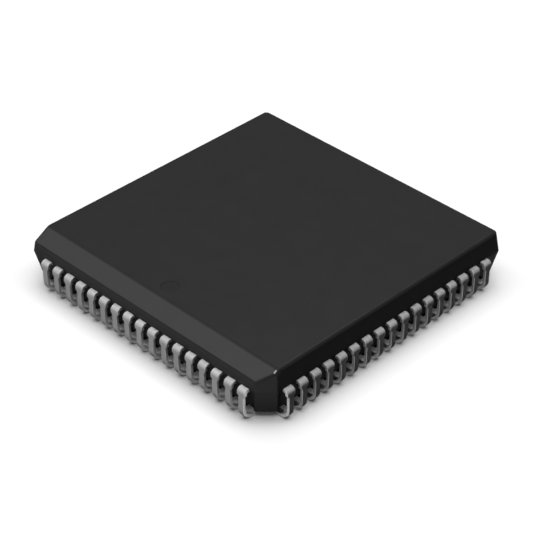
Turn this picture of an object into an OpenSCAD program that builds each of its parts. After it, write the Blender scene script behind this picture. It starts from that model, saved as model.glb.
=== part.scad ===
// Square plastic chip carrier with J-shaped leads along its four sides.
// The seating plane is z = 0, and the package is centred on the z axis.
// The first side, whose top edge is bevelled, faces +Y. The other sides follow
// anticlockwise seen from above, and the cut corner lies between the first two.

/* [Leads] */
// Leads along each side
leads_per_side = 17; // [11:2:21]
// Distance between the centres of neighbouring leads
pitch = 1.27; // [1.2:0.01:1.35]
// Thickness of the sheet that the lead frame is stamped from
lead_t = 0.254; // [0.2:0.002:0.3]
// Width of a lead where it leaves the body
shoulder_w = 0.74; // [0.66:0.01:0.81]
// Width of a lead's leg and hook
leg_w = 0.46; // [0.33:0.01:0.53]
// Height of a lead's wide part, down from its upper face
shoulder_h = 0.5; // [0.42:0.01:0.8]
// Height over which the wide part narrows to the leg
shoulder_taper = 0.12; // [0.05:0.01:0.3]
// Distance of a leg's outer face from the side of the body
lead_reach = 0.46; // [0.42:0.01:0.6]
// Inner radius of the bend at the shoulder
bend_r = 0.1; // [0.05:0.01:0.15]
// Outer radius of the hook that curls under the body
hook_r = 1; // [0.8:0.01:1.14]
// Angle that the hook turns through, in degrees
hook_turn = 160; // [130:1:170]

/* [Body] */
// Distance of the last lead's centre from the body's next side
row_margin = 1.955; // [1.8:0.005:2.2]
// Height of the top face above the seating plane
overall_h = 4.3; // [4.19:0.01:4.57]
// Height of the underside above the seating plane
standoff = 0.51; // [0.4:0.01:0.65]
// Height of the parting line and of the leads' upper faces
parting_z = 2.71; // [2.5:0.01:2.9]
// Draft of the sides above the parting line, in degrees
upper_draft = 7; // [3:0.5:10]
// Draft of the sides below the parting line, in degrees
lower_draft = 11; // [3:0.5:12]
// Length that the large corner cut takes off each side
corner_cut = 1.07; // [0.9:0.01:1.22]
// Length that each small corner cut takes off its sides
small_cut = 0.25; // [0.2:0.01:0.51]
// Width of the bevel along the first side
bevel_w = 1.5; // [1:0.05:1.8]
// Height of the bevel along the first side
bevel_h = 1; // [0.6:0.05:1.2]
// Gap around a hook in its pocket in the underside
pocket_gap = 0.19; // [0.1:0.01:0.25]
// Diameter of the dimple that marks the first lead
dimple_d = 1.4; // [1:0.1:2]
// Depth of that dimple
dimple_depth = 0.06; // [0.03:0.01:0.15]
// Distance of the dimple's centre from the bevel's upper edge
dimple_inset = 1.15; // [1.1:0.05:2]
// Diameter of the ejector pin's mark in the underside
ejector_d = 3; // [2:0.1:4]
// Depth of that mark
ejector_depth = 0.05; // [0.03:0.01:0.1]

/* [Lead frame inside] */
// Width of the square paddle under the die
paddle_w = 9.4; // [8.4:0.1:10]
// Depth of the paddle below the plane of the leads
paddle_drop = 0.3; // [0.27:0.01:0.4]
// Width of the tie bars that carry the paddle's corners
tie_w = 0.5; // [0.3:0.05:0.6]
// Length of a tie bar at the paddle's own level
tie_foot = 0.3; // [0.2:0.05:0.5]
// Length over which a tie bar climbs to the plane of the leads
tie_climb = 0.6; // [0.4:0.05:0.9]
// Depth of moulding over the end of each tie bar
tie_cover = 0.3; // [0.25:0.05:0.6]
// Gap between the paddle's edge and the tips of the fingers
tip_gap = 0.6; // [0.4:0.05:0.8]
// Distance of the last finger's tip from the diagonal, along the row
tip_margin = 1.06; // [0.9:0.01:1.3]
// Width of a finger at its tip
tip_w = 0.28; // [0.2:0.01:0.32]
// Straight length of a finger at its tip
tip_len = 0.6; // [0.5:0.05:0.8]
// Straight length of a finger inside the body's wall
root_len = 0.9; // [0.6:0.05:1]

/* [Die] */
// Width of the square die
die_w = 7.2; // [6:0.1:8]
// Thickness of the die
die_t = 0.38; // [0.3:0.01:0.45]
// Thickness of the adhesive under the die
attach_t = 0.03; // [0.02:0.005:0.06]
// Width of the adhesive that shows around the die
attach_rim = 0.15; // [0.05:0.01:0.3]

/* [Bond wires] */
// Thickness of a wire
wire_t = 0.033; // [0.025:0.001:0.05]
// Diameter of the ball that bonds a wire to the die
ball_d = 0.09; // [0.07:0.005:0.12]
// Height of that ball
ball_h = 0.025; // [0.015:0.001:0.035]
// Height of a wire's loop above the die's face
loop_h = 0.22; // [0.18:0.01:0.3]
// Radius of the bend at the top of the loop
loop_r = 0.12; // [0.08:0.01:0.14]
// Distance of a wire's ball from the edge of the die
pad_inset = 0.12; // [0.08:0.01:0.2]
// Distance of the last ball from the next edge of the die
pad_margin = 0.56; // [0.3:0.01:0.8]
// Distance of a wire's stitch from the tip of its finger
stitch_inset = 0.25; // [0.2:0.01:0.4]

/* [Hidden] */
$fn = 48;
steps = leads_per_side - 1;
row = [for (i = [0 : steps]) i - steps / 2];

body_w = steps * pitch + 2 * row_margin;
side = body_w / 2;
top_side = side - (overall_h - parting_z) * tan(upper_draft);
bottom_side = side - (parting_z - standoff) * tan(lower_draft);
bevel_y = side - bevel_w;

leg_y = side + lead_reach;
frame_z = parting_z - lead_t;
bend_y = leg_y - lead_t - bend_r;
bend_z = frame_z - bend_r;
hook_y = leg_y - hook_r;
hook_tip_z = hook_r - (hook_r - lead_t) * sin(hook_turn);

tip_y = paddle_w / 2 + tip_gap;
tip_pitch = 2 * (tip_y - tip_margin) / steps;
paddle_z = parting_z - paddle_drop;
die_z = paddle_z + attach_t;
die_face_z = die_z + die_t;
pad_y = die_w / 2 - pad_inset;
pad_pitch = (die_w - 2 * pad_margin) / steps;
stitch_y = tip_y + stitch_inset;
loop_z = die_face_z + loop_h - loop_r;

// Places something on one of the four sides, counted anticlockwise from the first
module on_side(number) {
    rotate(90 * number)
        children();
}

// A slab between two drafted faces: how far each reaches at the underside, parting line and top
module drafted_slab(direction, ahead, behind) {
    rotate([90, 0, direction])
        linear_extrude(2 * body_w, center = true)
            polygon([
                [ahead[0], standoff],
                [ahead[1], parting_z],
                [ahead[2], overall_h],
                [-behind[2], overall_h],
                [-behind[1], parting_z],
                [-behind[0], standoff]
            ]);
}

// How far a corner reaches along the diagonal when a cut of this length is taken off it
function corner_reach(cut) = [for (s = [bottom_side, side, top_side]) sqrt(2) * s - cut / sqrt(2)];

// Everything below the plane of the bevel
module bevel_slab() {
    rotate([90, 0, 90])
        linear_extrude(2 * body_w, center = true)
            polygon([
                [-body_w, 0],
                [bevel_y + overall_h * bevel_w / bevel_h, 0],
                [bevel_y, overall_h],
                [-body_w, overall_h]
            ]);
}

// The moulding's outer form, before anything is cut from it
module moulded_form() {
    flats = [bottom_side, side, top_side];
    small = corner_reach(small_cut);
    large = corner_reach(corner_cut);
    intersection() {
        drafted_slab(0, flats, flats);
        drafted_slab(90, flats, flats);
        drafted_slab(45, small, small);
        drafted_slab(135, large, small);
        bevel_slab();
    }
}

// The pockets in one side's underside, one around each hook
module hook_pockets() {
    pocket_w = leg_w + 2 * pocket_gap;
    pocket_y = hook_y - hook_r - pocket_gap;
    linear_extrude(hook_tip_z + pocket_gap)
        for (i = row)
            translate([i * pitch - pocket_w / 2, pocket_y])
                square([pocket_w, side - pocket_y]);
}

// The shallow dimple on the first side's axis and the ejector pin's mark below
module shallow_marks() {
    translate([0, bevel_y - dimple_inset, overall_h - dimple_depth])
        cylinder(d = dimple_d, h = 2 * dimple_depth);
    translate([0, 0, standoff - ejector_depth])
        cylinder(d = ejector_d, h = 2 * ejector_depth);
}

// The flat part of one lead, from its tip beside the paddle out to the shoulder's bend
module finger(i) {
    root_x = i * pitch;
    tip_x = i * tip_pitch;
    root_y = side - root_len;
    neck_y = tip_y + tip_len;
    translate([0, 0, frame_z])
        linear_extrude(lead_t)
            polygon([
                [tip_x - tip_w / 2, tip_y],
                [tip_x + tip_w / 2, tip_y],
                [tip_x + tip_w / 2, neck_y],
                [root_x + shoulder_w / 2, root_y],
                [root_x + shoulder_w / 2, bend_y],
                [root_x - shoulder_w / 2, bend_y],
                [root_x - shoulder_w / 2, root_y],
                [tip_x - tip_w / 2, neck_y]
            ]);
}

// A curved strip of the sheet, bent about the row's direction
module bent_strip(centre_y, centre_z, outer_r, from, turn, width) {
    rotate([90, 0, 90])
        translate([centre_y, centre_z, 0])
            rotate(from)
                rotate_extrude(angle = turn)
                    translate([outer_r - lead_t, -width / 2])
                        square([lead_t, width]);
}

// The upright leg, seen from outside: wide at the shoulder and narrow above the hook
module leg() {
    narrow_z = parting_z - shoulder_h - shoulder_taper;
    translate([0, leg_y, 0])
        rotate([90, 0, 0])
            linear_extrude(lead_t)
                polygon([
                    [-shoulder_w / 2, bend_z],
                    [shoulder_w / 2, bend_z],
                    [shoulder_w / 2, parting_z - shoulder_h],
                    [leg_w / 2, narrow_z],
                    [leg_w / 2, hook_r],
                    [-leg_w / 2, hook_r],
                    [-leg_w / 2, narrow_z],
                    [-shoulder_w / 2, parting_z - shoulder_h]
                ]);
}

// One whole lead: finger, shoulder bend, leg and hook
module lead(i) {
    finger(i);
    translate([i * pitch, 0, 0]) {
        bent_strip(bend_y, bend_z, bend_r + lead_t, 0, 90, shoulder_w);
        leg();
        bent_strip(hook_y, hook_r, hook_r, -hook_turn, hook_turn, leg_w);
    }
}

// One side's leads
module lead_row(number) {
    color("silver")
        on_side(number)
            for (i = row)
                lead(i);
}

// One tie bar, from inside the paddle's corner up and out to a corner of the body with this cut
module tie_bar(direction, cut) {
    corner = paddle_w / sqrt(2);
    climb_start = corner + tie_foot;
    climb_end = climb_start + tie_climb;
    bar_end = corner_reach(cut)[1] - tie_cover;
    rotate([90, 0, direction])
        linear_extrude(tie_w, center = true)
            polygon([
                [corner - 2 * tie_w, paddle_z - lead_t],
                [climb_start, paddle_z - lead_t],
                [climb_end, frame_z],
                [bar_end, frame_z],
                [bar_end, parting_z],
                [climb_end, parting_z],
                [climb_start, paddle_z],
                [corner - 2 * tie_w, paddle_z]
            ]);
}

// The paddle with its tie bars, one stamped piece
module die_paddle() {
    color("peru") {
        translate([-paddle_w / 2, -paddle_w / 2, paddle_z - lead_t])
            cube([paddle_w, paddle_w, lead_t]);
        tie_bar(135, corner_cut);
        for (direction = [45, 225, 315])
            tie_bar(direction, small_cut);
    }
}

// The film of adhesive between the paddle and the die
module die_attach() {
    attach_w = die_w + 2 * attach_rim;
    color("gainsboro")
        translate([-attach_w / 2, -attach_w / 2, paddle_z])
            cube([attach_w, attach_w, attach_t]);
}

// The silicon die
module die() {
    color("slategray")
        translate([-die_w / 2, -die_w / 2, die_z])
            cube([die_w, die_w, die_t]);
}

// How steeply a wire falls from its loop to a stitch this far from its ball, in degrees
function wire_fall(span) =
    let (run = span - loop_r, drop = loop_z - parting_z)
    atan2(drop, run) + asin(loop_r / norm([run, drop]));

// A point on the bend at the top of a wire's loop
function loop_point(r, angle) = [loop_r + r * cos(angle), loop_z + r * sin(angle)];

// Outline of a wire in its own upright plane, along one face of the wire and back along the other
module wire_outline(span) {
    fall = wire_fall(span);
    bend_steps = 4;
    arc = [for (k = [0 : bend_steps]) 180 - k * (90 + fall) / bend_steps];
    outer_r = loop_r + wire_t / 2;
    inner_r = loop_r - wire_t / 2;
    contact = wire_t / sin(fall);
    polygon(concat(
        [[-wire_t / 2, die_face_z + ball_h / 2]],
        [for (a = arc) loop_point(outer_r, a)],
        [[span + contact / 2, parting_z], [span - contact / 2, parting_z]],
        [for (k = [bend_steps : -1 : 0]) loop_point(inner_r, arc[k])],
        [[wire_t / 2, die_face_z + ball_h / 2]]
    ));
}

// One wire, from its ball on the die to its stitch on a finger
module wire(i) {
    ball = [i * pad_pitch, pad_y];
    stitch = [i * tip_pitch, stitch_y];
    run = stitch - ball;
    translate(ball)
        rotate(atan2(run[1], run[0])) {
            translate([0, 0, die_face_z])
                cylinder(d = ball_d, h = ball_h);
            rotate([90, 0, 0])
                linear_extrude(wire_t, center = true)
                    wire_outline(norm(run));
        }
}

// One side's bond wires
module wire_row(number) {
    color("gold")
        on_side(number)
            for (i = row)
                wire(i);
}

// The moulding, with room for everything that it was moulded around
module body() {
    color("dimgray")
        difference() {
            moulded_form();
            shallow_marks();
            for (number = [0 : 3])
                on_side(number) {
                    hook_pockets();
                    for (i = row)
                        finger(i);
                }
            die_paddle();
            die_attach();
            die();
            for (number = [0 : 3])
                wire_row(number);
        }
}

body();
die_paddle();
die_attach();
die();
lead_row(0);  // leads_first_side
lead_row(1);  // leads_second_side
lead_row(2);  // leads_third_side
lead_row(3);  // leads_fourth_side
wire_row(0);  // wires_first_side
wire_row(1);  // wires_second_side
wire_row(2);  // wires_third_side
wire_row(3);  // wires_fourth_side
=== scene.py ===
"""Dresses a square chip carrier: its moulding, J-shaped leads, inner pieces and a studio stage."""

import math
from types import SimpleNamespace

import bmesh
import bpy
from bpy.props import FloatProperty, FloatVectorProperty, IntProperty, PointerProperty
from mathutils import Matrix, Vector


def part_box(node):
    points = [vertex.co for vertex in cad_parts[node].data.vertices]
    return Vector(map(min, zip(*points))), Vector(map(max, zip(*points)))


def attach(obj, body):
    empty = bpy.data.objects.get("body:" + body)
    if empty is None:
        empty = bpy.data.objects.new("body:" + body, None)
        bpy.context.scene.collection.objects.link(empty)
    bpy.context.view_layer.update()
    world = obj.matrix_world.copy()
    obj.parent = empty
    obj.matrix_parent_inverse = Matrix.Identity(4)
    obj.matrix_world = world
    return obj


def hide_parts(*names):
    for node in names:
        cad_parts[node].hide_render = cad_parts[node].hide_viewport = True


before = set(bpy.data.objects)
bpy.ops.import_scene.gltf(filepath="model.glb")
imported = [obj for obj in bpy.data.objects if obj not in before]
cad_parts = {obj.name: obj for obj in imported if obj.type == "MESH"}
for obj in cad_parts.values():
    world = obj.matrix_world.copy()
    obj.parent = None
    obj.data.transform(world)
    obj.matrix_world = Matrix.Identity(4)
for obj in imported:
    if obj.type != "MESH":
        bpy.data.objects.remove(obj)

bl_info = {
    "name": "Chip carrier",
    "version": (1, 0, 0),
    "blender": (4, 5, 0),
    "location": "3D View > Sidebar > Chip",
    "description": "Builds the looks of a chip carrier with J-shaped leads round its solids",
    "category": "Object",
}

MM = 0.001
SIDES = ("first", "second", "third", "fourth")
QUARTER_TURN = 90
BODY_LOW, BODY_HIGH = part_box("body")
ROW_LOW, ROW_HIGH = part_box("leads_first_side")
BEND_STEPS = 6
HOOK_STEPS = 18
MARK_SEGMENTS = 64
ROUND_STEPS = 6
STAMPED_STEPS = 2
WELD_GAP = 1e-6
LEVEL_MATCH = 1e-3
FLAT_TURN = math.radians(0.5)
END_MATCH = math.sin(math.radians(1))
STAMPED_MATCH = math.cos(math.radians(40))
STAMPED_EDGE = math.radians(60)
MOULDING_CREASE = math.radians(16)
LEAD_CREASE = math.radians(60)
FLAT_WEIGHT = 100
HORIZON_LOW, HORIZON_HIGH = 0.2, 0.3


def length(name, description, default):
    """A property for a length, kept in metres."""
    return FloatProperty(
        name=name, description=description, default=default,
        min=0, precision=6, subtype="DISTANCE", unit="LENGTH",
    )


def angle(name, description, degrees):
    """A property for an angle, written in degrees and kept in radians."""
    return FloatProperty(
        name=name, description=description, default=math.radians(degrees),
        subtype="ANGLE", unit="ROTATION",
    )


def colour(name, description, default):
    """A property for a colour, in linear light."""
    return FloatVectorProperty(
        name=name, description=description, default=default, size=3, min=0, max=1, subtype="COLOR"
    )


def amount(name, description, default):
    """A property for a plain number."""
    return FloatProperty(name=name, description=description, default=default, min=0, precision=4)


class MouldingSizes(bpy.types.PropertyGroup):
    """Sizes of the moulded body."""

    half_width: length("Half width", "From the middle to the parting line", BODY_HIGH.x)
    top: length("Top", "Height of the top face", BODY_HIGH.z)
    underside: length("Underside", "Height of the underside", BODY_LOW.z)
    parting: length("Parting line", "Height of the parting line", ROW_HIGH.z)
    upper_draft: angle("Upper draft", "Draft of the sides above the parting line", 7)
    lower_draft: angle("Lower draft", "Draft of the sides below the parting line", 11)
    large_cut: length("Large cut", "Length that the large cut takes off each side", 1.07 * MM)
    small_cut: length("Small cut", "Length that each small cut takes off its sides", 0.25 * MM)
    bevel_run: length("Bevel width", "Width of the bevel along the first side", 1.5 * MM)
    bevel_drop: length("Bevel height", "Height of the bevel along the first side", 1 * MM)
    edge_radius: length("Edge radius", "Rounding of the moulding's edges", 0.24 * MM)
    bevel_ease: length("Bevel ease", "Width of the rounding by the bevel's long edges", 0.2 * MM)
    corner_radius: length(
        "Corner radius", "Rounding of the edges by the large cut and at the bevel's end", 0.36 * MM
    )
    foot_radius: length("Foot radius", "Rounding of the edges round the underside", 0.1 * MM)
    # The sheens set the coat's strength face by face. Face sheen is the epoxy's own faint gloss.
    # The others are painted sheen that makes the bevel, the large cut, the first side and the
    # sides below the parting line lighter, and end sheen paints a glint on the rounding at the
    # bevel's end.
    face_sheen: amount("Face sheen", "Sheen of most faces", 0.05)
    bevel_painted_sheen: amount("Bevel sheen", "Sheen of the bevel", 0.38)
    cut_painted_sheen: amount("Cut sheen", "Sheen of the upper half of the large cut", 0.17)
    lower_cut_painted_sheen: amount("Lower cut sheen", "Sheen of the lower half of the large cut", 0.18)
    end_painted_glint: amount("End sheen", "Sheen of the rounded edge at the bevel's end", 0.8)
    first_sheen: amount("First sheen", "Sheen of the first side above the parting line", 0.12)
    lower_painted_sheen: amount("Lower sheen", "Sheen of the sides below the parting line", 0.09)
    pocket_gap: length("Pocket gap", "Gap round a hook in its pocket", 0.19 * MM)
    dimple_width: length("Dimple width", "Diameter of the dimple by the first lead", 1.4 * MM)
    dimple_depth: length("Dimple depth", "Depth of that dimple", 0.06 * MM)
    dimple_inset: length("Dimple inset", "From the bevel's upper edge to its centre", 1.15 * MM)
    ejector_width: length("Ejector width", "Diameter of the ejector pin's mark", 3 * MM)
    ejector_depth: length("Ejector depth", "Depth of the ejector pin's mark", 0.05 * MM)


class LeadSizes(bpy.types.PropertyGroup):
    """Sizes of the leads."""

    count: IntProperty(name="Leads", description="Leads along each side", default=17, min=1)
    pitch: length("Pitch", "Between the centres of neighbouring leads", 1.27 * MM)
    sheet: length("Sheet", "Thickness of the lead frame's sheet", 0.254 * MM)
    shoulder_width: length("Shoulder width", "Width of a lead where it leaves the body", 0.74 * MM)
    leg_width: length("Leg width", "Width of a lead's leg and hook", 0.46 * MM)
    shoulder_height: length("Shoulder height", "Height of a lead's wide part", 0.5 * MM)
    shoulder_taper: length("Shoulder taper", "Height over which the wide part narrows", 0.12 * MM)
    reach: length("Reach", "From the middle to a leg's outer face", ROW_HIGH.y)
    level: length("Level", "Height of the leads' upper faces", ROW_HIGH.z)
    bend_radius: length("Bend radius", "Inner radius of the shoulder's bend", 0.1 * MM)
    hook_radius: length("Hook radius", "Outer radius of the hook", 1 * MM)
    hook_turn: angle("Hook turn", "Angle that the hook turns through", 160)
    tip_start: length("Finger tip", "From the middle to the fingers' tips", ROW_LOW.y)
    tip_pitch: length("Tip pitch", "Between the tips of neighbouring fingers", 0.53 * MM)
    tip_width: length("Tip width", "Width of a finger at its tip", 0.28 * MM)
    tip_length: length("Tip length", "Straight length of a finger at its tip", 0.6 * MM)
    root_length: length("Root length", "Straight length of a finger inside the wall", 0.9 * MM)
    edge_radius: length("Edge radius", "Rounding of the stamped edges", 0.035 * MM)
    tone_seed: IntProperty(name="Tone seed", description="Seed of the leads' tones", default=4)


class FinishColours(bpy.types.PropertyGroup):
    """Colours of the finishes."""

    moulding: colour("Moulding", "Matt black moulding epoxy", (0.03, 0.03, 0.03))
    tin: colour("Tin", "Satin tin plating", (0.65, 0.65, 0.645))
    copper: colour("Copper", "Bare copper alloy", (0.72, 0.42, 0.28))
    adhesive: colour("Adhesive", "Silver-filled adhesive", (0.62, 0.62, 0.6))
    silicon: colour("Silicon", "Polished silicon", (0.22, 0.24, 0.28))
    gold: colour("Gold", "Drawn gold wire", (0.9, 0.68, 0.25))


class StageSettings(bpy.types.PropertyGroup):
    """Camera, lamps and floor."""

    azimuth: angle("Azimuth", "Camera's turn round the object", 224.815)
    elevation: angle("Elevation", "Camera's height above the horizon", 36.165)
    roll: angle("Roll", "Camera's turn about its own axis", 0.045)
    distance: length("Distance", "From the camera to the aim", 141.4 * MM)
    aim_right: length("Aim to the right", "Sideways shift of the aim", 0.634 * MM)
    aim_up: length("Aim up", "Upward shift of the aim in the picture", 0.2 * MM)
    aim_height: length("Aim height", "Height of the aim", 0.132 * MM)
    lens: amount("Lens", "Focal length for a 36 mm frame, in millimetres", 125.4)
    floor_width: length("Floor width", "Width of the floor", 4.0)
    floor_bounce: amount("Floor bounce", "Share of light that the object gets back from it", 0.03)
    floor_glow: amount("Floor glow", "How light the floor looks in full shadow", 0.04)
    air_light: amount("Air light", "Light from all round", 0.005)
    lamp_distance: length("Lamp distance", "From the object to its lamps", 0.5)
    lamp_width: length("Lamp width", "Width of the object's lamps", 0.25)
    key_azimuth: angle("Key azimuth", "Turn of the lamp over the first side", 172)
    key_elevation: angle("Key elevation", "Height of the lamp over the first side", 60)
    key_power: amount("Key power", "Power of the lamp over the first side, in watts", 1.5)
    back_azimuth: angle("Back azimuth", "Turn of the lamp behind the object", 30)
    back_elevation: angle("Back elevation", "Height of the lamp behind the object", 60)
    back_power: amount("Back power", "Power of the lamp behind the object, in watts", 1.5)
    rim_azimuth: angle("Rim azimuth", "Turn of the lamp that the bevel reflects", 120)
    rim_elevation: angle("Rim elevation", "Height of the lamp that the bevel reflects", 47)
    rim_power: amount("Rim power", "Power of the lamp that the bevel reflects, in watts", 0.2)
    floor_lamp_height: length("Floor lamp height", "Height of the lamp that lights the floor", 2.0)
    floor_lamp_width: length("Floor lamp width", "Width of the lamp that lights the floor", 2.5)
    floor_lamp_power: amount("Floor lamp power", "Power of the floor's lamp, in watts", 60.5)


class Value:
    """One output of a node. Arithmetic on it adds Math nodes to its graph."""

    def __init__(self, graph, output):
        self.graph = graph
        self.output = output

    def __add__(self, other):
        return self.graph.math("ADD", self, other)

    def __radd__(self, other):
        return self.graph.math("ADD", other, self)

    def __sub__(self, other):
        return self.graph.math("SUBTRACT", self, other)

    def __rsub__(self, other):
        return self.graph.math("SUBTRACT", other, self)

    def __mul__(self, other):
        return self.graph.math("MULTIPLY", self, other)

    def __rmul__(self, other):
        return self.graph.math("MULTIPLY", other, self)


class Placed:
    """A node in a graph, whose outputs are picked by name."""

    def __init__(self, graph, node):
        self.graph = graph
        self.node = node

    def __getitem__(self, name):
        return Value(self.graph, shown_socket(self.node.outputs, name))


class Graph:
    """A node tree, of a finish, of the world or of a row, and the one way to add nodes to it."""

    def __init__(self, tree):
        self.tree = tree
        tree.nodes.clear()

    def add(self, kind, settings=None, inputs=None):
        """Adds a node, sets its settings first, and then sets or links its sockets."""
        node = self.tree.nodes.new(kind)
        for name, setting in (settings or {}).items():
            setattr(node, name, setting)
        for name, value in (inputs or {}).items():
            socket = shown_socket(node.inputs, name)
            if isinstance(value, Value):
                self.tree.links.new(value.output, socket)
            else:
                socket.default_value = value
        return Placed(self, node)

    def math(self, operation, *values):
        """The result of one Math node."""
        sockets = dict(enumerate(values))
        return self.add("ShaderNodeMath", {"operation": operation}, sockets)["Value"]

    def mottled(self, tone, base, dark, light):
        """A colour that goes from darker to lighter as a tone goes from 0 to 1."""
        return self.add(
            "ShaderNodeMix", {"data_type": "RGBA"},
            {"Factor": tone, "A": shade(base, dark), "B": shade(base, light)},
        )["Result"]

    def noise(self, place, size, detail):
        """Noise from 0 to 1 whose grains are about this size, in metres."""
        return self.add(
            "ShaderNodeTexNoise", {}, {"Vector": place, "Scale": 1 / size, "Detail": detail}
        )["Fac"]

    def stretched(self, place, scale):
        """Coordinates multiplied axis by axis."""
        settings = {"operation": "MULTIPLY"}
        return self.add("ShaderNodeVectorMath", settings, {0: place, 1: scale})["Vector"]

    def bump(self, height, depth):
        """A normal that follows a height from 0 to 1, this deep in metres."""
        return self.add("ShaderNodeBump", {}, {"Height": height, "Distance": depth})["Normal"]


def shown_socket(sockets, name):
    """The socket with this name that the node's settings leave in use, or that at this index."""
    if isinstance(name, int):
        return sockets[name]
    return next(socket for socket in sockets if socket.name == name and socket.enabled)


def shade(base, factor):
    """A colour made lighter or darker, with alpha."""
    return (*[min(1, channel * factor) for channel in base], 1)


def finish_graph(name):
    """A new material and the graph of its nodes."""
    material = bpy.data.materials.new(name)
    material.use_nodes = True
    return material, Graph(material.node_tree)


def principled(graph, inputs):
    """Ends a finish in one Principled shader."""
    surface = graph.add("ShaderNodeBsdfPrincipled", {}, inputs)["BSDF"]
    graph.add("ShaderNodeOutputMaterial", {}, {"Surface": surface})


def moulding_finish(base):
    """Matt moulding epoxy with a spark-eroded grain, and a coat whose strength each face stores: a
    faint gloss, with painted sheen and a painted glint on some faces.
    """
    material, graph = finish_graph("moulding_epoxy")
    place = graph.add("ShaderNodeTexCoord")["Object"]
    sheen = graph.add("ShaderNodeAttribute", {"attribute_name": "sheen"})["Fac"]
    grain = graph.noise(place, size=0.05 * MM, detail=3)
    cloud = graph.noise(place, size=1.6 * MM, detail=4)
    tone = 0.35 * grain + 0.65 * cloud
    principled(graph, {
        "Base Color": graph.mottled(tone, base, dark=0.86, light=1.14),
        "Roughness": 0.5 + 0.12 * grain + 0.06 * cloud,
        "Specular IOR Level": 0.0,
        # Coat strength from the stored painted sheen, varied a little by the grain.
        "Coat Weight": sheen * (0.85 + 0.3 * grain),
        "Coat Roughness": 0.24,
        "Coat IOR": 1.8,
        "Normal": graph.bump(grain, depth=0.002 * MM),
    })
    return material


def tin_finish(base):
    """Satin tin plating with faint rolling lines and a fine grain.

    Each lead has its own tone, and bright stamped sides.
    """
    material, graph = finish_graph("tin_plating")
    place = graph.add("ShaderNodeTexCoord")["Object"]
    lead_tone = graph.add("ShaderNodeAttribute", {"attribute_name": "lead_tone"})["Fac"]
    stamped = graph.add("ShaderNodeAttribute", {"attribute_name": "stamped"})["Fac"]
    grain = graph.noise(place, size=0.03 * MM, detail=3)
    rolled = graph.stretched(place, scale=(1, 1, 0.12))
    lines = graph.noise(rolled, size=0.05 * MM, detail=2)
    tone = 0.4 * lead_tone + 0.35 * lines + 0.25 * grain
    principled(graph, {
        "Base Color": graph.mottled(tone, base, dark=0.86, light=1.1),
        "Roughness": 0.36 + 0.14 * lines + 0.08 * grain,
        "Metallic": 0.9 * stamped,
        "Specular IOR Level": 0.0,
        "Coat Weight": 0.15,
        "Coat Roughness": 0.3,
        "Normal": graph.bump(0.6 * lines + 0.4 * grain, depth=0.0015 * MM),
    })
    return material


def hidden_metal_finish(name, base, roughness):
    """Bare metal of the pieces inside, with rolling or drawing lines."""
    material, graph = finish_graph(name)
    place = graph.add("ShaderNodeTexCoord")["Object"]
    drawn = graph.stretched(place, scale=(1, 0.1, 1))
    lines = graph.noise(drawn, size=0.06 * MM, detail=2)
    principled(graph, {
        "Base Color": graph.mottled(lines, base, dark=0.88, light=1.08),
        "Metallic": 1.0,
        "Roughness": roughness + 0.15 * lines,
        "Normal": graph.bump(lines, depth=0.002 * MM),
    })
    return material


def adhesive_finish(base):
    """Cured silver-filled adhesive, with flakes."""
    material, graph = finish_graph("silver_adhesive")
    place = graph.add("ShaderNodeTexCoord")["Object"]
    flakes = graph.noise(place, size=0.02 * MM, detail=3)
    principled(graph, {
        "Base Color": graph.mottled(flakes, base, dark=0.75, light=1.2),
        "Metallic": 0.4,
        "Roughness": 0.4 + 0.3 * flakes,
        "Normal": graph.bump(flakes, depth=0.003 * MM),
    })
    return material


def silicon_finish(base):
    """Polished silicon with the faint grid of its printed layers."""
    material, graph = finish_graph("silicon")
    place = graph.add("ShaderNodeTexCoord")["Object"]
    blocks = graph.add(
        "ShaderNodeTexBrick",
        {"offset": 0.3, "squash": 1.6},
        {
            "Vector": place, "Scale": 1 / (1.1 * MM), "Mortar Size": 0.03,
            "Color1": shade(base, 0.85), "Color2": shade(base, 1.15), "Mortar": shade(base, 0.6),
        },
    )["Color"]
    haze = graph.noise(place, size=0.3 * MM, detail=3)
    principled(graph, {
        "Base Color": blocks,
        "Metallic": 0.6,
        "Roughness": 0.12 + 0.12 * haze,
    })
    return material


def in_millimetres(group):
    """A group's values, with lengths in millimetres, in which small bevels and cuts stay exact."""
    values = {}
    for prop in group.bl_rna.properties:
        value = getattr(group, prop.identifier)
        values[prop.identifier] = value / MM if getattr(prop, "unit", "") == "LENGTH" else value
    return SimpleNamespace(**values)


def direction(degrees):
    """A level unit vector, turned anticlockwise from the first side's direction."""
    return Matrix.Rotation(math.radians(degrees), 3, "Z") @ Vector((0, 1, 0))


def work_object(name, shape):
    """An object for work in progress, from a bmesh or a mesh."""
    mesh = shape
    if isinstance(shape, bmesh.types.BMesh):
        mesh = bpy.data.meshes.new(name)
        shape.to_mesh(mesh)
        shape.free()
    work = bpy.data.objects.new(name, mesh)
    bpy.context.scene.collection.objects.link(work)
    return work


def settled(work):
    """The plain mesh that an object's modifiers make, after which the object is removed."""
    depsgraph = bpy.context.evaluated_depsgraph_get()
    mesh = bpy.data.meshes.new_from_object(
        work.evaluated_get(depsgraph), preserve_all_data_layers=True, depsgraph=depsgraph
    )
    bpy.data.objects.remove(work)
    return mesh


def softened(name, mesh, crease):
    """The mesh with bends shaded smooth, flats flat and edges above the crease angle sharp."""
    mesh.shade_smooth()
    mesh.set_sharp_from_angle(angle=crease)
    work = work_object(name, mesh)
    normals = work.modifiers.new("flats", "WEIGHTED_NORMAL")
    normals.weight = FLAT_WEIGHT
    normals.keep_sharp = True
    return settled(work)


def finished_piece(name, mesh, finish, slot, *nodes):
    """A piece of the object that rides on its one body and stands for CAD nodes."""
    mesh.name = name
    mesh.materials.clear()
    mesh.materials.append(finish)
    piece = bpy.data.objects.new(name, mesh)
    bpy.context.scene.collection.objects.link(piece)
    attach(piece, "root")
    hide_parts(*nodes)
    return piece


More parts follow.
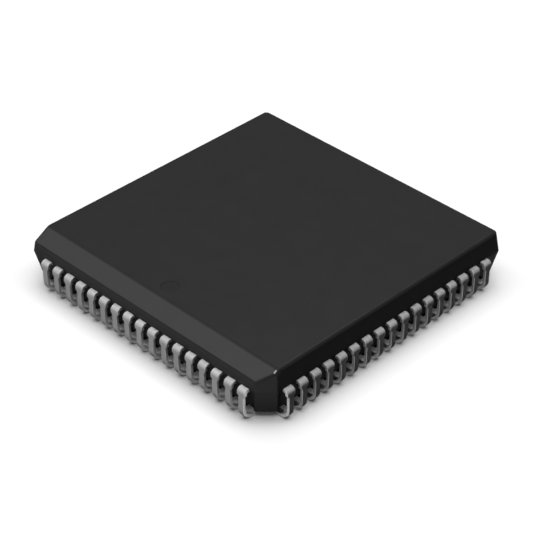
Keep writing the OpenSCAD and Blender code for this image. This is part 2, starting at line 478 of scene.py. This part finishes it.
def drafted_pair(moulding, outward, reach, spread):
    """The drafted flats above and below the parting line, where they reach furthest out."""
    edge = outward * reach + Vector((0, 0, moulding.parting))
    upward = Vector((0, 0, spread))
    yield edge, (outward + upward * math.tan(moulding.upper_draft)).normalized()
    yield edge, (outward - upward * math.tan(moulding.lower_draft)).normalized()


def bevel_flat(moulding):
    """The bevel along the first side."""
    edge = Vector((0, moulding.half_width - moulding.bevel_run, moulding.top))
    return edge, Vector((0, moulding.bevel_drop, moulding.bevel_run)).normalized()


def side_flats(moulding, number):
    """The flats of one side."""
    yield from drafted_pair(moulding, direction(QUARTER_TURN * number), moulding.half_width, 1)


def corner_flats(moulding, number, cut):
    """The flats that cut one corner."""
    outward = direction(QUARTER_TURN * (number + 0.5))
    reach = math.sqrt(2) * moulding.half_width - cut / math.sqrt(2)
    yield from drafted_pair(moulding, outward, reach, math.sqrt(2))


def form_flats(moulding):
    """Every flat of the moulding, as a point on it and its outward direction."""
    yield Vector((0, 0, moulding.top)), Vector((0, 0, 1))
    yield Vector((0, 0, moulding.underside)), Vector((0, 0, -1))
    yield bevel_flat(moulding)
    for number in range(len(SIDES)):
        yield from side_flats(moulding, number)
        cut = moulding.small_cut if number else moulding.large_cut
        yield from corner_flats(moulding, number, cut)


def large_corner(moulding):
    """Directions of the flats that meet at the large corner above the parting line."""
    return SimpleNamespace(
        bevel=bevel_flat(moulding)[1],
        first=next(side_flats(moulding, 0))[1],
        second=next(side_flats(moulding, 1))[1],
        cut=next(corner_flats(moulding, 0, moulding.large_cut))[1],
    )


def flat_painted_sheens(moulding):
    """The moulding's flats, as their outward directions and the coat strength of each: painted
    sheen on the first side, the large cut, the lower sides and the bevel.
    """
    for number in range(len(SIDES)):
        upper, lower = side_flats(moulding, number)
        yield upper[1], moulding.face_sheen if number else moulding.first_sheen
        yield lower[1], moulding.lower_painted_sheen
        upper, lower = corner_flats(moulding, number, moulding.small_cut)
        yield upper[1], moulding.face_sheen if number else moulding.cut_painted_sheen
        yield lower[1], moulding.lower_painted_sheen if number else moulding.lower_cut_painted_sheen
    for upright in (1, -1):
        yield Vector((0, 0, upright)), moulding.face_sheen
    yield bevel_flat(moulding)[1], moulding.bevel_painted_sheen


def rounding_painted_sheen(moulding, normal):
    """The painted sheen across the roundings along the bevel, which falls off fast away from it.
    """
    corner = large_corner(moulding)
    beside, sheen = corner.first, moulding.first_sheen
    if normal.z > corner.bevel.z:
        beside, sheen = Vector((0, 0, 1)), moulding.face_sheen
    share = 1 - normal.angle(corner.bevel) / beside.angle(corner.bevel)
    return sheen + (moulding.bevel_painted_sheen - sheen) * share ** 2


def mark_painted_sheen(moulding, mesh):
    """Stores each face's coat strength, with painted sheen on some faces. The rounding at the
    bevel's end gets a painted glint.
    """
    flats = list(flat_painted_sheens(moulding))
    corner = large_corner(moulding)
    end = corner.bevel.cross(corner.second).normalized()
    sheen = mesh.attributes.new("sheen", "FLOAT", "FACE")
    for face, stored_value in zip(mesh.polygons, sheen.data):
        normal = face.normal
        nearest, value = min(flats, key=lambda flat: normal.angle(flat[0]))
        if normal.angle(nearest) > FLAT_TURN:
            if abs(normal.x) < END_MATCH and normal.y > 0 and normal.z > 0:
                value = rounding_painted_sheen(moulding, normal)
            elif nearest == corner.bevel and abs(normal.dot(end)) < END_MATCH:
                value = moulding.end_painted_glint
            elif nearest == corner.bevel:
                value = moulding.face_sheen
        stored_value.value = value


def moulded_form(moulding):
    """A block twice as wide as the moulding, trimmed by each of its flats."""
    form = bmesh.new()
    bmesh.ops.create_cube(form, size=4 * moulding.half_width)
    for point, outward in form_flats(moulding):
        everything = form.verts[:] + form.edges[:] + form.faces[:]
        cut = bmesh.ops.bisect_plane(
            form, geom=everything, dist=WELD_GAP,
            plane_co=point, plane_no=outward, clear_outer=True,
        )
        rim = [part for part in cut["geom_cut"] if isinstance(part, bmesh.types.BMEdge)]
        bmesh.ops.contextual_create(form, geom=rim)
    bmesh.ops.recalc_face_normals(form, faces=form.faces)
    return form


def borders(edge, outward):
    """Whether one of an edge's faces looks in this direction."""
    return any(face.normal.angle(outward) < FLAT_TURN for face in edge.link_faces)


def edge_ease(moulding, edge):
    """The width of one edge's rounding on its faces.

    The parting line, where the mould's halves meet, stays crisp.
    """
    per_radius = math.tan(edge.calc_face_angle() / 2)
    levels = {moulding.parting: 0, moulding.underside: moulding.foot_radius}
    for level, radius in levels.items():
        if all(math.isclose(vertex.co.z, level, abs_tol=LEVEL_MATCH) for vertex in edge.verts):
            return radius * per_radius
    corner = large_corner(moulding)
    along = edge.verts[1].co - edge.verts[0].co
    if borders(edge, corner.bevel) and abs(along.normalized().x) > math.cos(FLAT_TURN):
        return moulding.bevel_ease
    at_end = borders(edge, corner.bevel) and borders(edge, corner.second)
    at_corner = at_end or borders(edge, corner.cut)
    return (moulding.corner_radius if at_corner else moulding.edge_radius) * per_radius


def rounded_form(moulding):
    """The form with each edge rounded by its own width."""
    form = moulded_form(moulding)
    weights = form.edges.layers.float.new("bevel_weight_edge")
    for edge in form.edges:
        edge[weights] = edge_ease(moulding, edge)
    work = work_object("moulded_form", form)
    rounding = work.modifiers.new("rounding", "BEVEL")
    rounding.limit_method = "WEIGHT"
    rounding.width = 1
    rounding.segments = ROUND_STEPS
    rounding.use_clamp_overlap = False
    mesh = settled(work)
    mark_painted_sheen(moulding, mesh)
    return mesh


def shallow_mark(marks, centre, width, depth, outward):
    """A cutter for a shallow round mark with a sloping wall, in a face that looks up or down."""
    slope = 2 * depth
    turn = Matrix.Rotation(0 if outward > 0 else math.pi, 4, "X")
    bmesh.ops.create_cone(
        marks,
        cap_ends=True,
        segments=MARK_SEGMENTS,
        radius1=width / 2 - slope,
        radius2=width / 2 + slope,
        depth=2 * depth,
        matrix=Matrix.Translation(centre) @ turn,
    )


def mark_cutter(moulding):
    """Cutters for the dimple beside the bevel and the ejector pin's mark below."""
    marks = bmesh.new()
    dimple_y = moulding.half_width - moulding.bevel_run - moulding.dimple_inset
    dimple = Vector((0, dimple_y, moulding.top))
    ejector = Vector((0, 0, moulding.underside))
    shallow_mark(marks, dimple, moulding.dimple_width, moulding.dimple_depth, 1)
    shallow_mark(marks, ejector, moulding.ejector_width, moulding.ejector_depth, -1)
    return work_object("mark_cutter", marks)


def pocket_block(moulding, leads):
    """A cutter for the pocket round the middle hook of the first side."""
    tip_height = leads.hook_radius - (leads.hook_radius - leads.sheet) * math.sin(leads.hook_turn)
    inner = leads.reach - 2 * leads.hook_radius - moulding.pocket_gap
    outer = moulding.half_width + moulding.pocket_gap
    high = tip_height + moulding.pocket_gap
    width = leads.leg_width + 2 * moulding.pocket_gap
    block = bmesh.new()
    bmesh.ops.create_cube(block, size=1)
    bmesh.ops.scale(block, vec=(width, outer - inner, 2 * high), verts=block.verts)
    bmesh.ops.translate(block, vec=(0, (inner + outer) / 2, 0), verts=block.verts)
    return work_object("pocket_block", block)


def lead_arc(centre, radius, start, turn, steps, width):
    """Points of a bend: places on the sheet's middle, outward directions and widths."""
    for step in range(steps + 1):
        along = start + turn * step / steps
        outward = Vector((0, math.cos(along), math.sin(along)))
        yield centre + outward * radius, outward, width


def lead_path(leads, wall):
    """The middle line of one lead's sheet, from its finger's tip to its hook's end."""
    half = leads.sheet / 2
    flat = leads.level - half
    up = Vector((0, 0, 1))
    out = Vector((0, 1, 0))
    bend_y = leads.reach - leads.sheet - leads.bend_radius
    bend_z = leads.level - leads.sheet - leads.bend_radius
    bend = Vector((0, bend_y, bend_z))
    hook = Vector((0, leads.reach - leads.hook_radius, leads.hook_radius))
    narrowing = leads.level - leads.shoulder_height
    quarter = math.pi / 2
    bend_radius = leads.bend_radius + half
    hook_radius = leads.hook_radius - half
    yield Vector((0, leads.tip_start, flat)), up, leads.tip_width
    yield Vector((0, leads.tip_start + leads.tip_length, flat)), up, leads.tip_width
    yield Vector((0, wall - leads.root_length, flat)), up, leads.shoulder_width
    yield from lead_arc(bend, bend_radius, quarter, -quarter, BEND_STEPS, leads.shoulder_width)
    yield Vector((0, leads.reach - half, narrowing)), out, leads.shoulder_width
    yield Vector((0, leads.reach - half, narrowing - leads.shoulder_taper)), out, leads.leg_width
    yield from lead_arc(hook, hook_radius, 0, -leads.hook_turn, HOOK_STEPS, leads.leg_width)


def mark_stamped(mesh):
    """Stores which faces of a lead are its stamped sides."""
    stamped = mesh.attributes.new("stamped", "FLOAT", "FACE")
    for face, stored_value in zip(mesh.polygons, stamped.data):
        stored_value.value = abs(face.normal.x) > STAMPED_MATCH


def lead_shape(leads, wall):
    """One lead, swept along its middle line, with its stamped edges rounded."""
    lead = bmesh.new()
    rings = []
    for place, outward, width in lead_path(leads, wall):
        side = Vector((width / 2, 0, 0))
        depth = outward * leads.sheet / 2
        inner, outer = place - depth, place + depth
        corners = (inner - side, inner + side, outer + side, outer - side)
        rings.append([lead.verts.new(corner) for corner in corners])
    for ring, following in zip(rings, rings[1:]):
        for corner in range(len(ring)):
            beside = (corner + 1) % len(ring)
            lead.faces.new((ring[corner], ring[beside], following[beside], following[corner]))
    lead.faces.new(rings[0])
    lead.faces.new(rings[-1])
    bmesh.ops.recalc_face_normals(lead, faces=lead.faces)
    work = work_object("lead", lead)
    rounding = work.modifiers.new("rounding", "BEVEL")
    rounding.limit_method = "ANGLE"
    rounding.angle_limit = STAMPED_EDGE
    rounding.width = leads.edge_radius
    rounding.segments = STAMPED_STEPS
    mesh = softened("lead", settled(work), LEAD_CREASE)
    mark_stamped(mesh)
    return work_object("lead", mesh)


def row_tree():
    """A tree that repeats a piece along a side and fans its copies' fingers in towards the die."""
    tree = bpy.data.node_groups.new("row_along_side", "GeometryNodeTree")
    sockets = {
        "Piece": "NodeSocketObject",
        "Count": "NodeSocketInt",
        "Pitch": "NodeSocketFloat",
        "Tip Pitch": "NodeSocketFloat",
        "Fan Start": "NodeSocketFloat",
        "Fan End": "NodeSocketFloat",
        "Tone Seed": "NodeSocketInt",
        "Finish": "NodeSocketMaterial",
    }
    for name, kind in sockets.items():
        tree.interface.new_socket(name=name, in_out="INPUT", socket_type=kind)
    tree.interface.new_socket(name="Row", in_out="OUTPUT", socket_type="NodeSocketGeometry")
    graph = Graph(tree)
    given = graph.add("NodeGroupInput")
    middle = (given["Count"] - 1) * 0.5
    first = graph.add("ShaderNodeCombineXYZ", {}, {"X": (0 - middle) * given["Pitch"]})["Vector"]
    step = graph.add("ShaderNodeCombineXYZ", {}, {"X": given["Pitch"]})["Vector"]
    line = graph.add(
        "GeometryNodeMeshLine", {"mode": "OFFSET"},
        {"Count": given["Count"], "Start Location": first, "Offset": step},
    )["Mesh"]
    piece = graph.add("GeometryNodeObjectInfo", {}, {"Object": given["Piece"]})["Geometry"]
    copies = graph.add(
        "GeometryNodeInstanceOnPoints", {}, {"Points": line, "Instance": piece}
    )["Instances"]
    index = graph.add("GeometryNodeInputIndex")["Index"]
    numbered = stored(graph, copies, "place_in_row", index - middle)
    tone = graph.add(
        "FunctionNodeRandomValue", {"data_type": "FLOAT"}, {"Seed": given["Tone Seed"]}
    )["Value"]
    toned = stored(graph, numbered, "lead_tone", tone)
    real = graph.add("GeometryNodeRealizeInstances", {}, {"Geometry": toned})["Geometry"]
    position = graph.add("GeometryNodeInputPosition")["Position"]
    out = graph.add("ShaderNodeSeparateXYZ", {}, {"Vector": position})["Y"]
    fan = graph.add("ShaderNodeMapRange", {}, {
        "Value": out, "From Min": given["Fan Start"], "From Max": given["Fan End"],
        "To Min": 1.0, "To Max": 0.0,
    })["Result"]
    place = graph.add(
        "GeometryNodeInputNamedAttribute", {"data_type": "FLOAT"}, {"Name": "place_in_row"}
    )["Attribute"]
    lean = place * (given["Tip Pitch"] - given["Pitch"]) * fan
    offset = graph.add("ShaderNodeCombineXYZ", {}, {"X": lean})["Vector"]
    fanned = graph.add(
        "GeometryNodeSetPosition", {}, {"Geometry": real, "Offset": offset}
    )["Geometry"]
    dressed = graph.add(
        "GeometryNodeSetMaterial", {}, {"Geometry": fanned, "Material": given["Finish"]}
    )["Geometry"]
    graph.add("NodeGroupOutput", {}, {"Row": dressed})
    return tree


def stored(graph, copies, name, value):
    """The copies, each with a number of its own under this name."""
    return graph.add(
        "GeometryNodeStoreNamedAttribute",
        {"data_type": "FLOAT", "domain": "INSTANCE"},
        {"Geometry": copies, "Name": name, "Value": value},
    )["Geometry"]


def row_mesh(tree, number, inputs):
    """One side's row as a plain mesh, made by the row tree and turned to its side."""
    work = work_object("row", bpy.data.meshes.new("row"))
    row = work.modifiers.new("row", "NODES")
    row.node_group = tree
    for socket in tree.interface.items_tree:
        if socket.in_out == "INPUT":
            row[socket.identifier] = inputs[socket.name]
    mesh = settled(work)
    mesh.transform(Matrix.Rotation(math.radians(QUARTER_TURN * number), 4, "Z"))
    return mesh


def row_inputs(leads, wall, piece, tip_pitch, finish=None):
    """Inputs of the row tree for a piece whose copies draw in to the tip pitch."""
    return {
        "Piece": piece,
        "Count": leads.count,
        "Pitch": leads.pitch,
        "Tip Pitch": tip_pitch,
        "Fan Start": leads.tip_start + leads.tip_length,
        "Fan End": wall - leads.root_length,
        "Tone Seed": leads.tone_seed,
        "Finish": finish,
    }


def pocket_cutter(tree, inputs, numbers):
    """The pocket cutters of two opposite sides."""
    cutter = bmesh.new()
    for number in numbers:
        row = row_mesh(tree, number, inputs)
        cutter.from_mesh(row)
        bpy.data.meshes.remove(row)
    return work_object("pocket_cutter", cutter)


class CHIP_OT_moulding(bpy.types.Operator):
    """Build the moulded body, with its bevel, corner cuts, pockets and shallow marks"""

    bl_idname = "chip.moulding"
    bl_label = "Moulding"

    def execute(self, context):
        moulding = in_millimetres(context.scene.chip_moulding)
        leads = in_millimetres(context.scene.chip_leads)
        tree = row_tree()
        block = pocket_block(moulding, leads)
        inputs = row_inputs(leads, moulding.half_width, block, leads.pitch)
        work = work_object("moulding", rounded_form(moulding))
        cutters = [
            pocket_cutter(tree, inputs, (0, 2)),
            pocket_cutter(tree, inputs, (1, 3)),
            mark_cutter(moulding),
        ]
        for cutter in cutters:
            cut = work.modifiers.new(cutter.name, "BOOLEAN")
            cut.operation = "DIFFERENCE"
            cut.solver = "EXACT"
            cut.object = cutter
        mesh = softened("moulding", settled(work), MOULDING_CREASE)
        for used in (*cutters, block):
            bpy.data.objects.remove(used)
        mesh.transform(Matrix.Scale(MM, 4))
        finish = moulding_finish(context.scene.chip_colours.moulding)
        finished_piece("moulded_body", mesh, finish, "moulding", "body")
        return {"FINISHED"}


class CHIP_OT_leads(bpy.types.Operator):
    """Build the four rows of J-shaped leads with their fingers"""

    bl_idname = "chip.leads"
    bl_label = "Leads"

    def execute(self, context):
        leads = in_millimetres(context.scene.chip_leads)
        wall = context.scene.chip_moulding.half_width / MM
        finish = tin_finish(context.scene.chip_colours.tin)
        lead = lead_shape(leads, wall)
        tree = row_tree()
        inputs = row_inputs(leads, wall, lead, leads.tip_pitch, finish)
        for number, side in enumerate(SIDES):
            mesh = row_mesh(tree, number, inputs)
            mesh.transform(Matrix.Scale(MM, 4))
            finished_piece(f"{side}_side_leads", mesh, finish, "tin_plate", f"leads_{side}_side")
        bpy.data.objects.remove(lead)
        return {"FINISHED"}


class CHIP_OT_inner_pieces(bpy.types.Operator):
    """Give the paddle, the adhesive, the die and the bond wires their finishes"""

    bl_idname = "chip.inner_pieces"
    bl_label = "Inner pieces"

    def execute(self, context):
        colours = context.scene.chip_colours
        gold = hidden_metal_finish("gold_wire", colours.gold, roughness=0.15)
        finishes = {
            "die_paddle": hidden_metal_finish("copper_sheet", colours.copper, roughness=0.3),
            "die_attach": adhesive_finish(colours.adhesive),
            "die": silicon_finish(colours.silicon),
            **{f"wires_{side}_side": gold for side in SIDES},
        }
        for node, finish in finishes.items():
            for material_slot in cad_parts[node].material_slots:
                material_slot.material = finish
        return {"FINISHED"}


def floor_finish(bounce, glow):
    """A pale floor that is white to look at, and grey in full shadow.

    It gives back only part of its light to the object.
    """
    material, graph = finish_graph("studio_floor")
    ray = graph.add("ShaderNodeLightPath")
    seen = ray["Is Camera Ray"] + ray["Is Glossy Ray"] + ray["Is Transmission Ray"]
    looked_at = graph.math("MINIMUM", seen, 1)
    white = bounce + looked_at * (1 - bounce - glow)
    lit = graph.add("ShaderNodeBsdfDiffuse", {}, {"Color": white})["BSDF"]
    shaded = graph.add("ShaderNodeEmission", {}, {"Strength": looked_at * glow})["Emission"]
    surface = graph.add("ShaderNodeAddShader", {}, {0: lit, 1: shaded})["Shader"]
    graph.add("ShaderNodeOutputMaterial", {}, {"Surface": surface})
    return material


def studio_world(air_light):
    """Dim light from all round, with a white horizon for a camera that sees past the floor."""
    world = bpy.data.worlds.new("studio_air")
    world.use_nodes = True
    graph = Graph(world.node_tree)
    ray = graph.add("ShaderNodeLightPath")
    seen = ray["Is Camera Ray"] + ray["Is Glossy Ray"] + ray["Is Transmission Ray"]
    view = graph.add("ShaderNodeTexCoord")["Generated"]
    height = graph.add("ShaderNodeSeparateXYZ", {}, {"Vector": view})["Z"]
    low = graph.add("ShaderNodeMapRange", {}, {
        "Value": height, "From Min": HORIZON_LOW, "From Max": HORIZON_HIGH,
        "To Min": 1.0, "To Max": 0.0,
    })["Result"]
    strength = air_light + seen * low * (1 - air_light)
    air = graph.add("ShaderNodeBackground", {}, {"Strength": strength})["Background"]
    graph.add("ShaderNodeOutputWorld", {}, {"Surface": air})
    return world


def seen_from(azimuth, elevation):
    """The direction from the object to something at this azimuth and elevation, in radians."""
    level = math.cos(elevation)
    return Vector((math.sin(azimuth) * level, -math.cos(azimuth) * level, math.sin(elevation)))


def softbox(name, azimuth, elevation, distance, width, power):
    """A square lamp aimed at the middle of the object, placed by angles."""
    lamp = bpy.data.lights.new(name, "AREA")
    lamp.shape = "SQUARE"
    lamp.size = width
    lamp.energy = power
    back = seen_from(azimuth, elevation)
    placed = bpy.data.objects.new(name, lamp)
    placed.location = back * distance
    placed.rotation_euler = back.to_track_quat("Z", "Y").to_euler()
    bpy.context.scene.collection.objects.link(placed)
    return placed


def link_to_floor(lamp, floor, state):
    """Lets a lamp light the floor alone (INCLUDE) or everything else (EXCLUDE)."""
    lit = bpy.data.collections.new(lamp.name)
    lit.objects.link(floor)
    lit.collection_objects[0].light_linking.link_state = state
    lamp.light_linking.receiver_collection = lit


def studio_lamps(stage, floor):
    """The object's three softboxes, and a wide one overhead for the floor.

    The overhead one gives the floor an even white and a soft shadow.
    """
    placed = {
        "key_softbox": (stage.key_azimuth, stage.key_elevation, stage.key_power),
        "back_softbox": (stage.back_azimuth, stage.back_elevation, stage.back_power),
        "rim_softbox": (stage.rim_azimuth, stage.rim_elevation, stage.rim_power),
    }
    for name, (azimuth, elevation, power) in placed.items():
        lamp = softbox(name, azimuth, elevation, stage.lamp_distance, stage.lamp_width, power)
        link_to_floor(lamp, floor, "EXCLUDE")
    overhead = softbox(
        "floor_softbox", 0, math.pi / 2,
        stage.floor_lamp_height, stage.floor_lamp_width, stage.floor_lamp_power,
    )
    link_to_floor(overhead, floor, "INCLUDE")


def studio_camera(stage):
    """The camera, at the place from which the object is seen."""
    lens = bpy.data.cameras.new("studio_camera")
    lens.lens = stage.lens
    lens.clip_start = 1 * MM
    back = seen_from(stage.azimuth, stage.elevation)
    right = Vector((math.cos(stage.azimuth), math.sin(stage.azimuth), 0))
    up = back.cross(right)
    aim = right * stage.aim_right + up * stage.aim_up + Vector((0, 0, stage.aim_height))
    level = Matrix((right, up, back)).transposed().to_4x4()
    camera = bpy.data.objects.new("studio_camera", lens)
    place = Matrix.Translation(aim + back * stage.distance)
    camera.matrix_world = place @ level @ Matrix.Rotation(stage.roll, 4, "Z")
    bpy.context.scene.collection.objects.link(camera)
    return camera


class CHIP_OT_stage(bpy.types.Operator):
    """Set up the floor, the soft light and the camera"""

    bl_idname = "chip.stage"
    bl_label = "Stage"

    def execute(self, context):
        scene = context.scene
        stage = scene.chip_stage
        plane = bmesh.new()
        bmesh.ops.create_grid(plane, x_segments=1, y_segments=1, size=stage.floor_width / 2)
        floor = work_object("studio_floor", plane)
        floor.data.materials.append(floor_finish(stage.floor_bounce, stage.floor_glow))
        studio_lamps(stage, floor)
        scene.world = studio_world(stage.air_light)
        scene.camera = studio_camera(stage)
        scene.view_settings.view_transform = "Standard"
        return {"FINISHED"}


class CHIP_PT_parts(bpy.types.Panel):
    """Lists what the add-on builds"""

    bl_idname = "CHIP_PT_parts"
    bl_label = "Chip carrier"
    bl_space_type = "VIEW_3D"
    bl_region_type = "UI"
    bl_category = "Chip"

    def draw(self, context):
        for operator in OPERATORS:
            self.layout.operator(operator.bl_idname)
        for name in SETTINGS:
            group = getattr(context.scene, name)
            box = self.layout.box()
            for prop in type(group).__annotations__:
                box.prop(group, prop)


SETTINGS = {
    "chip_moulding": MouldingSizes,
    "chip_leads": LeadSizes,
    "chip_colours": FinishColours,
    "chip_stage": StageSettings,
}
OPERATORS = (CHIP_OT_moulding, CHIP_OT_leads, CHIP_OT_inner_pieces, CHIP_OT_stage)
CLASSES = (*SETTINGS.values(), *OPERATORS, CHIP_PT_parts)


def register():
    """Registers the classes and gives the scene its settings."""
    for item in CLASSES:
        bpy.utils.register_class(item)
    for name, group in SETTINGS.items():
        setattr(bpy.types.Scene, name, PointerProperty(type=group))


def unregister():
    """Takes the settings and the classes out again."""
    for name in SETTINGS:
        delattr(bpy.types.Scene, name)
    for item in reversed(CLASSES):
        bpy.utils.unregister_class(item)


def main():
    """Builds everything in order."""
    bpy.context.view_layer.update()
    register()
    bpy.ops.chip.moulding()
    bpy.ops.chip.leads()
    bpy.ops.chip.inner_pieces()
    bpy.ops.chip.stage()


if __name__ == "__main__":
    main()
